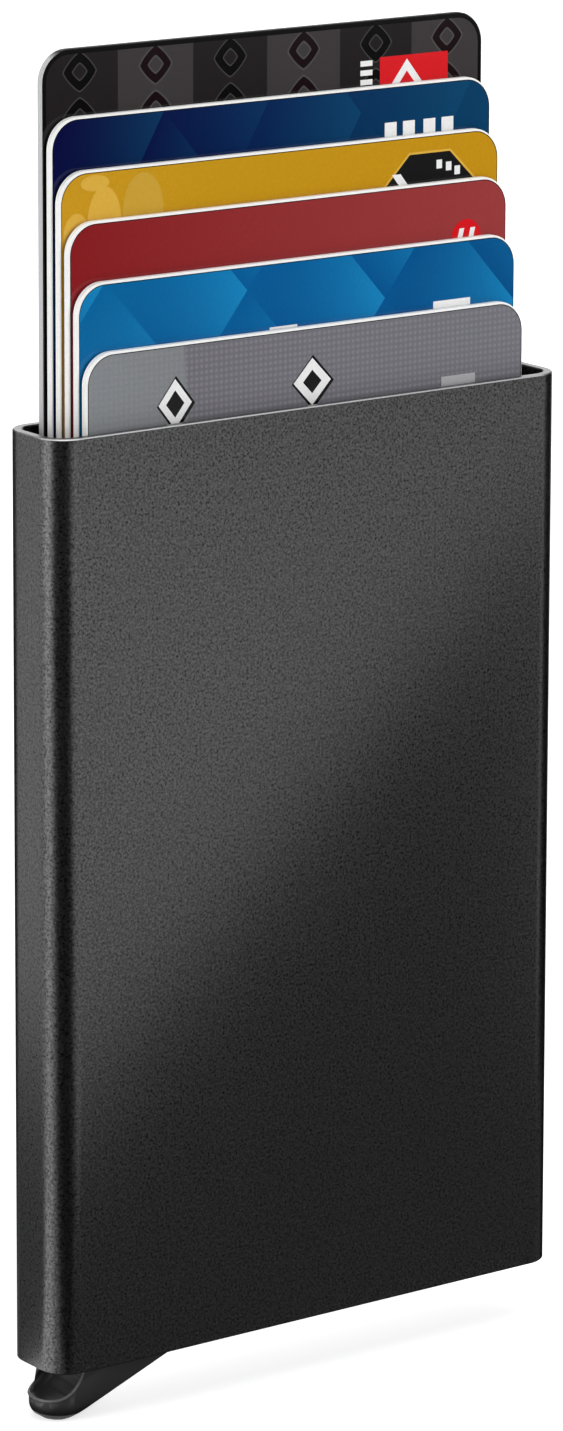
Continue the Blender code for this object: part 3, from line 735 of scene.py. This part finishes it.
def make_marks(number, look, inks):
    """All the printed and stamped marks of one card, as thin films in one piece."""
    low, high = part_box(CARD_NAMES[number])
    size, middle = high - low, (low + high) / 2
    face = size.y / 2
    front = MARKS[number]
    # Each film's mark, its side of the card and how far it stands above the face
    films = [(mark, -1, look.ink * (1 + level / len(front))) for level, mark in enumerate(front)]
    if number in CHIP_CARDS:
        films.append((PLATE, -1, look.ink))
        films += [(gap, -1, look.ink * GAP_RISE) for gap in chip_gaps()]
    wide, tall = size.x / MM, size.z / MM
    tape = Mark("magnetic_tape", "bar", wide - TAPE_INSET - TAPE_WIDE / 2, tall / 2, TAPE_WIDE,
                tall - TAPE_SHORTER)
    panel = Mark("signature_paper", "bar", tape.across - PANEL_FROM_TAPE, tall * PANEL_DOWN_SHARE,
                 PANEL_WIDE, PANEL_HIGH)
    films += [(tape, 1, look.ink), (panel, 1, look.ink)]
    used = list(dict.fromkeys(mark.ink for mark, _, _ in films))
    bm = bmesh.new()
    for mark, side, rise in films:
        x = mark.across * MM - size.x / 2
        z = size.z / 2 - mark.down * MM
        outline = mark_outline(mark)
        hole = [(x + mark.hole * px, z + mark.hole * pz) for px, pz in outline] if mark.hole else None
        outline = [(x + px, z + pz) for px, pz in outline]
        add_prism(bm, outline, hole, side * (face - look.ink), side * (face + rise), used.index(mark.ink))
    marks = new_object(f"{CARD_NAMES[number]}_marks", bm, [inks[ink] for ink in used], middle)
    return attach(marks, CARD_BODIES[number])


def smooth_copy(name, node):
    """A piece with a CAD node's shape, welded and shaded smooth where it is round, in place of the node."""
    bm = bmesh.new()
    bm.from_mesh(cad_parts[node].data)
    bmesh.ops.remove_doubles(bm, verts=bm.verts, dist=WELD_DISTANCE)
    bmesh.ops.dissolve_limit(bm, angle_limit=FLAT_WITHIN, verts=bm.verts, edges=bm.edges)
    piece = new_object(name, bm, ())
    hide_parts(node)
    return piece


def dish_floor(along):
    """Height of the dish's floor above the lever's lowest level, so far along from the toe's end."""
    return LIP_HEIGHT + DISH_RADIUS - math.sqrt(DISH_RADIUS ** 2 - along ** 2)


def make_dish_cutter(low, high, top):
    """A bar with the dish's outline, rounded at its rear end, that reaches in from the front."""
    outline = [(low.x - DISH_RADIUS, top), (low.x - DISH_RADIUS, low.z + LIP_HEIGHT)]
    for step in range(DISH_STEPS):
        along = DISH_REACH * DISH_RADIUS * step / (DISH_STEPS - 1)
        outline.append((low.x + along, low.z + dish_floor(along)))
    outline.append((outline[-1][0], top))
    bm = bmesh.new()
    ends = (low.y - DISH_RADIUS, high.y - DISH_REAR_WALL)
    front, rear = ([bm.verts.new((x, y, z)) for x, z in outline] for y in ends)
    bridge(bm, front, rear, 0)
    bm.faces.new(front)
    rear_face = bm.faces.new(rear)
    bmesh.ops.recalc_face_normals(bm, faces=bm.faces)
    bmesh.ops.bevel(bm, geom=list(rear_face.edges), offset=DISH_ROUNDING, segments=DISH_STEPS // 2,
                    profile=0.5, affect="EDGES")
    return new_object("dish_cutter", bm, ())


def cut_dish(lever):
    """Hollows the toe for the thumb."""
    low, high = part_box("eject_lever")
    cutter = make_dish_cutter(low, high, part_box("housing")[0].z + DISH_ABOVE)
    cut = lever.modifiers.new("dish", "BOOLEAN")
    cut.operation = "DIFFERENCE"
    cut.object = cutter
    shaped = bpy.data.meshes.new_from_object(lever.evaluated_get(bpy.context.evaluated_depsgraph_get()))
    lever.modifiers.clear()
    lever.data = shaped
    bpy.data.objects.remove(cutter)
    bm = bmesh.new()
    bm.from_mesh(shaped)
    bmesh.ops.dissolve_degenerate(bm, dist=SLIVER_WIDTH, edges=bm.edges)
    bmesh.ops.triangulate(bm, faces=bm.faces)
    bmesh.ops.dissolve_degenerate(bm, dist=SLIVER_WIDTH, edges=bm.edges)
    bmesh.ops.dissolve_limit(bm, angle_limit=FLAT_WITHIN, verts=bm.verts, edges=bm.edges)
    for face in bm.faces:
        face.smooth = face.calc_area() < BROAD_FACE
    bm.to_mesh(shaped)
    bm.free()
    shaped.set_sharp_from_angle(angle=SMOOTH_BELOW)


def lip_path(low, high):
    """Places along the dish's edge, from its rear end round the toe to its front one.

    With each comes the direction that points straight out of the toe's wall there.
    """
    middle, half = (low.y + high.y) / 2, (high.y - low.y) / 2
    straight = DISH_REACH * DISH_RADIUS - TOE_CORNER
    places = []
    for step in range(LIP_STEPS, 0, -1):
        places.append((TOE_CORNER + straight * step / LIP_STEPS, half, (0.0, 1.0)))
    for step in range(LIP_STEPS + 1):
        turn = math.radians(90) * (1 + step / LIP_STEPS)
        out = (math.cos(turn), math.sin(turn))
        places.append((TOE_CORNER + TOE_CORNER * out[0], half - TOE_CORNER + TOE_CORNER * out[1], out))
    places += [(along, -aside, (out[0], -out[1])) for along, aside, out in reversed(places)]
    return [(low.x + along, middle + aside, low.z + dish_floor(along), out) for along, aside, out in places]


def make_lip():
    """The fine moulded bead along the dish's edge."""
    bm = bmesh.new()
    loops = []
    for x, y, z, out in lip_path(*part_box("eject_lever")):
        loop = []
        for wide, tall in round_outline(2 * LIP_RADIUS, 2 * LIP_RADIUS, LIP_SIDES):
            outward = wide - LIP_INSET
            loop.append(bm.verts.new((x + outward * out[0], y + outward * out[1], z + tall)))
        loops.append(loop)
    for loop, next_loop in zip(loops, loops[1:]):
        bridge(bm, loop, next_loop, 0)
    bm.faces.new(loops[0])
    bm.faces.new(loops[-1])
    return new_object("toe_lip", bm, ())


def dress(node, made):
    """Gives a CAD node that stays its material."""
    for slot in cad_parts[node].material_slots:
        slot.material = made


def emptied_tree(block):
    """The node tree of a new material or world, without the nodes that it starts with."""
    block.use_nodes = True
    block.node_tree.nodes.clear()
    return block.node_tree


def seen_directly(tree):
    """1 for a ray that shows a surface itself, in the open, in a gloss or through glass, and 0 for light."""
    path = add_node(tree, "ShaderNodeLightPath").outputs
    gloss = add_node(tree, "ShaderNodeMath", {0: path["Is Camera Ray"], 1: path["Is Glossy Ray"]},
                     operation="MAXIMUM").outputs["Value"]
    return add_node(tree, "ShaderNodeMath", {0: gloss, 1: path["Is Transmission Ray"]},
                    operation="MAXIMUM").outputs["Value"]


def make_surroundings(look):
    """White wherever it is seen, in a reflection too, and a weaker fill light on what is dull."""
    world = bpy.data.worlds.new("white_studio")
    bpy.context.scene.world = world
    tree = emptied_tree(world)
    strength = add_node(tree, "ShaderNodeMapRange", {"Value": seen_directly(tree), "To Min": look.fill})
    light = add_node(tree, "ShaderNodeBackground", {
        "Color": solid("#ffffff"), "Strength": strength.outputs["Result"]})
    add_node(tree, "ShaderNodeOutputWorld", {"Surface": light.outputs["Background"]})


def make_floor():
    """A pale paper floor. It glows where it is seen, so that it is white but for the case's soft shadow."""
    made = bpy.data.materials.new("studio_paper")
    tree = emptied_tree(made)
    place = add_node(tree, "ShaderNodeTexCoord").outputs["Object"]
    away = add_node(tree, "ShaderNodeVectorMath", {0: place}, operation="LENGTH")
    rise = add_node(tree, "ShaderNodeMapRange", {
        "Value": away.outputs["Value"], "From Min": NEAR_GLOW, "From Max": FAR_GLOW, "To Min": FLOOR_GLOW})
    glow = add_node(tree, "ShaderNodeMath", {0: seen_directly(tree), 1: rise.outputs["Result"]},
                    operation="MULTIPLY")
    paper = add_node(tree, "ShaderNodeBsdfDiffuse", {"Color": solid("#d8d8d8")})
    light = add_node(tree, "ShaderNodeEmission", {"Strength": glow.outputs["Value"]})
    both = add_node(tree, "ShaderNodeAddShader", {0: paper.outputs["BSDF"], 1: light.outputs["Emission"]})
    add_node(tree, "ShaderNodeOutputMaterial", {"Surface": both.outputs["Shader"]})
    bm = bmesh.new()
    bmesh.ops.create_grid(bm, x_segments=1, y_segments=1, size=FLOOR_SIZE / 2)
    new_object("floor", bm, (made,))


def at_turn(turn, distance, height=0.0):
    """A point round the case, by its turn in degrees from straight in front to the right."""
    angle = math.radians(turn)
    return Vector((math.sin(angle) * distance, -math.cos(angle) * distance, height))


def make_board(name, glow, outlines):
    """A studio board of flat faces that neither the camera nor the light sees."""
    made = bpy.data.materials.new(name)
    tree = emptied_tree(made)
    light = add_node(tree, "ShaderNodeEmission", {"Strength": glow})
    add_node(tree, "ShaderNodeOutputMaterial", {"Surface": light.outputs["Emission"]})
    bm = bmesh.new()
    for outline in outlines:
        bm.faces.new([bm.verts.new(corner) for corner in outline])
    board = new_object(name, bm, (made,))
    board.visible_camera = board.visible_diffuse = board.visible_shadow = False
    board.visible_transmission = False


def make_boards():
    """The boards, the floor cards and the flag. They show in glossy surfaces alone."""
    for board in BLACK_BOARDS:
        steps = round((board.last - board.first) / BOARD_STEP)
        turns = [board.first + (board.last - board.first) * step / steps for step in range(steps + 1)]
        strips = []
        for turn, next_turn in zip(turns, turns[1:]):
            corners = ((turn, 0.0), (next_turn, 0.0), (next_turn, board.height), (turn, board.height))
            strips.append([at_turn(corner, board.distance, height) for corner, height in corners])
        make_board(board.name, 0.0, strips)
    for level, card in enumerate(FLOOR_CARDS, start=1):
        height = level * FLOOR_CARD_STEP
        make_board(card.name, card.glow, [[at_turn(*corner, height) for corner in card.corners]])
    make_board("flag", CLOTH_GLOW, [[(x * MM, -FLAG_AHEAD, z * MM) for x, z in FLAG]])


def make_lamps():
    """Soft rectangular lamps, all turned to the middle of the case."""
    low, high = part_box("housing")
    middle = (low + high) / 2
    for box in SOFTBOXES:
        lamp = bpy.data.lights.new(box.name, "AREA")
        lamp.shape = "RECTANGLE"
        lamp.size = box.wide * MM
        lamp.size_y = box.tall * MM
        lamp.energy = box.radiance * math.pi * lamp.size * lamp.size_y
        height = math.radians(box.height)
        away = at_turn(box.turn, math.cos(height), math.sin(height))
        place = bpy.data.objects.new(box.name, lamp)
        place.location = middle + away * box.distance * MM
        place.rotation_euler = away.to_track_quat("Z", "Y").to_euler()
        bpy.context.scene.collection.objects.link(place)


def make_camera(look):
    """A long lens from the front left and a little above, as the photograph was taken."""
    camera = bpy.data.cameras.new("photo_camera")
    camera.sensor_width = SENSOR_LENGTH
    camera.lens = SENSOR_LENGTH * FOCAL_PIXELS / PHOTO_HEIGHT
    camera.shift_y = look.shift
    camera.clip_start, camera.clip_end = CLIP_START, FLOOR_SIZE
    place = bpy.data.objects.new("photo_camera", camera)
    bpy.context.scene.collection.objects.link(place)
    bpy.context.scene.camera = place
    turn = (Matrix.Rotation(-look.turn, 4, "Z") @ Matrix.Rotation(math.radians(90) - look.tilt, 4, "X")
            @ Matrix.Rotation(look.roll, 4, "Z"))
    back = turn @ Vector((0.0, 0.0, look.distance))
    place.matrix_world = Matrix.Translation(Vector(look.aim) + back) @ turn


class CARDCASE_OT_stage(bpy.types.Operator):
    """Sets up the floor, the lamps, the surroundings and the camera"""
    bl_idname = "cardcase.stage"
    bl_label = "Studio"

    def execute(self, context):
        look = context.scene.cardcase_stage
        context.scene.view_settings.view_transform = "Standard"
        make_surroundings(look)
        make_floor()
        make_boards()
        make_lamps()
        make_camera(look)
        return {"FINISHED"}


class CARDCASE_OT_sleeve(bpy.types.Operator):
    """Makes the coated sleeve with its bright cut rim"""
    bl_idname = "cardcase.sleeve"
    bl_label = "Sleeve"

    def execute(self, context):
        make_sleeve(context.scene.cardcase_sleeve)
        return {"FINISHED"}


class CARDCASE_OT_cards(bpy.types.Operator):
    """Makes the six cards with their prints and marks"""
    bl_idname = "cardcase.cards"
    bl_label = "Cards"

    def execute(self, context):
        look = context.scene.cardcase_cards
        core = card_core("punched_pvc_core", look.core)
        # The dark line round each face, painted shade along the card's edge
        painted_shade_line = painted_shade_line_print()
        inks = {name: stamped_ink(f"{name}_film", *values) for name, values in INKS.items()}
        for number in range(CARD_COUNT):
            make_card(number, look, core, painted_shade_line)
            make_marks(number, look, inks)
        return {"FINISHED"}


class CARDCASE_OT_mouldings(bpy.types.Operator):
    """Makes the lever and dresses the mouldings that the sleeve holds"""
    bl_idname = "cardcase.mouldings"
    bl_label = "Lever and mouldings"

    def execute(self, context):
        look = context.scene.cardcase_mouldings
        plastic = moulded_plastic(look, "moulded_nylon", look.plastic)
        # The lip gets a paler plastic as a painted highlight
        painted_lip_highlight = moulded_plastic(look, "painted_lip_highlight_nylon", look.painted_lip_highlight)
        lever = smooth_copy("lever", "eject_lever")
        cut_dish(lever)
        for piece, made in ((lever, plastic), (make_lip(), painted_lip_highlight)):
            piece.data.materials.append(made)
            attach(piece, "lever")
        for node in ("base_plug", "left_frame", "right_frame"):
            dress(node, plastic)
        return {"FINISHED"}


class CARDCASE_OT_linings(bpy.types.Operator):
    """Dresses the felt pads and the brake strips"""
    bl_idname = "cardcase.linings"
    bl_label = "Linings"

    def execute(self, context):
        felt = pressed_felt(context.scene.cardcase_mouldings)
        for node in ("front_felt_pad", "rear_felt_pad", "left_brake_strip", "right_brake_strip"):
            dress(node, felt)
        return {"FINISHED"}


class CARDCASE_OT_steel(bpy.types.Operator):
    """Makes the lever's pin and spring"""
    bl_idname = "cardcase.steel"
    bl_label = "Pin and spring"

    def execute(self, context):
        steel = drawn_steel()
        for name, node in (("lever_pin", "pivot_pin"), ("lever_spring", "return_spring")):
            piece = smooth_copy(name, node)
            piece.data.materials.append(steel)
            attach(piece, "case")
        return {"FINISHED"}


class CARDCASE_PT_panel(bpy.types.Panel):
    """Lists the card case's operators"""
    bl_label = "Card case"
    bl_idname = "CARDCASE_PT_panel"
    bl_space_type = "VIEW_3D"
    bl_region_type = "UI"
    bl_category = "Card case"

    def draw(self, context):
        for operator in OPERATORS:
            self.layout.operator(operator.bl_idname)


GROUPS = {
    "cardcase_sleeve": SleeveLook,
    "cardcase_cards": CardLook,
    "cardcase_mouldings": MouldingLook,
    "cardcase_stage": StageLook,
}
OPERATORS = (CARDCASE_OT_stage, CARDCASE_OT_sleeve, CARDCASE_OT_cards, CARDCASE_OT_mouldings,
             CARDCASE_OT_linings, CARDCASE_OT_steel)


def register():
    """Registers the classes, with the looks as properties of the scene."""
    for kind in (*GROUPS.values(), *OPERATORS, CARDCASE_PT_panel):
        bpy.utils.register_class(kind)
    for name, kind in GROUPS.items():
        setattr(bpy.types.Scene, name, bpy.props.PointerProperty(type=kind))


def unregister():
    """Takes the properties and the classes away again."""
    for name in GROUPS:
        delattr(bpy.types.Scene, name)
    for kind in (CARDCASE_PT_panel, *OPERATORS, *GROUPS.values()):
        bpy.utils.unregister_class(kind)


def main():
    """Makes the whole case and its studio."""
    register()
    bpy.ops.cardcase.stage()
    bpy.ops.cardcase.sleeve()
    bpy.ops.cardcase.cards()
    bpy.ops.cardcase.mouldings()
    bpy.ops.cardcase.linings()
    bpy.ops.cardcase.steel()


if __name__ == "__main__":
    main()
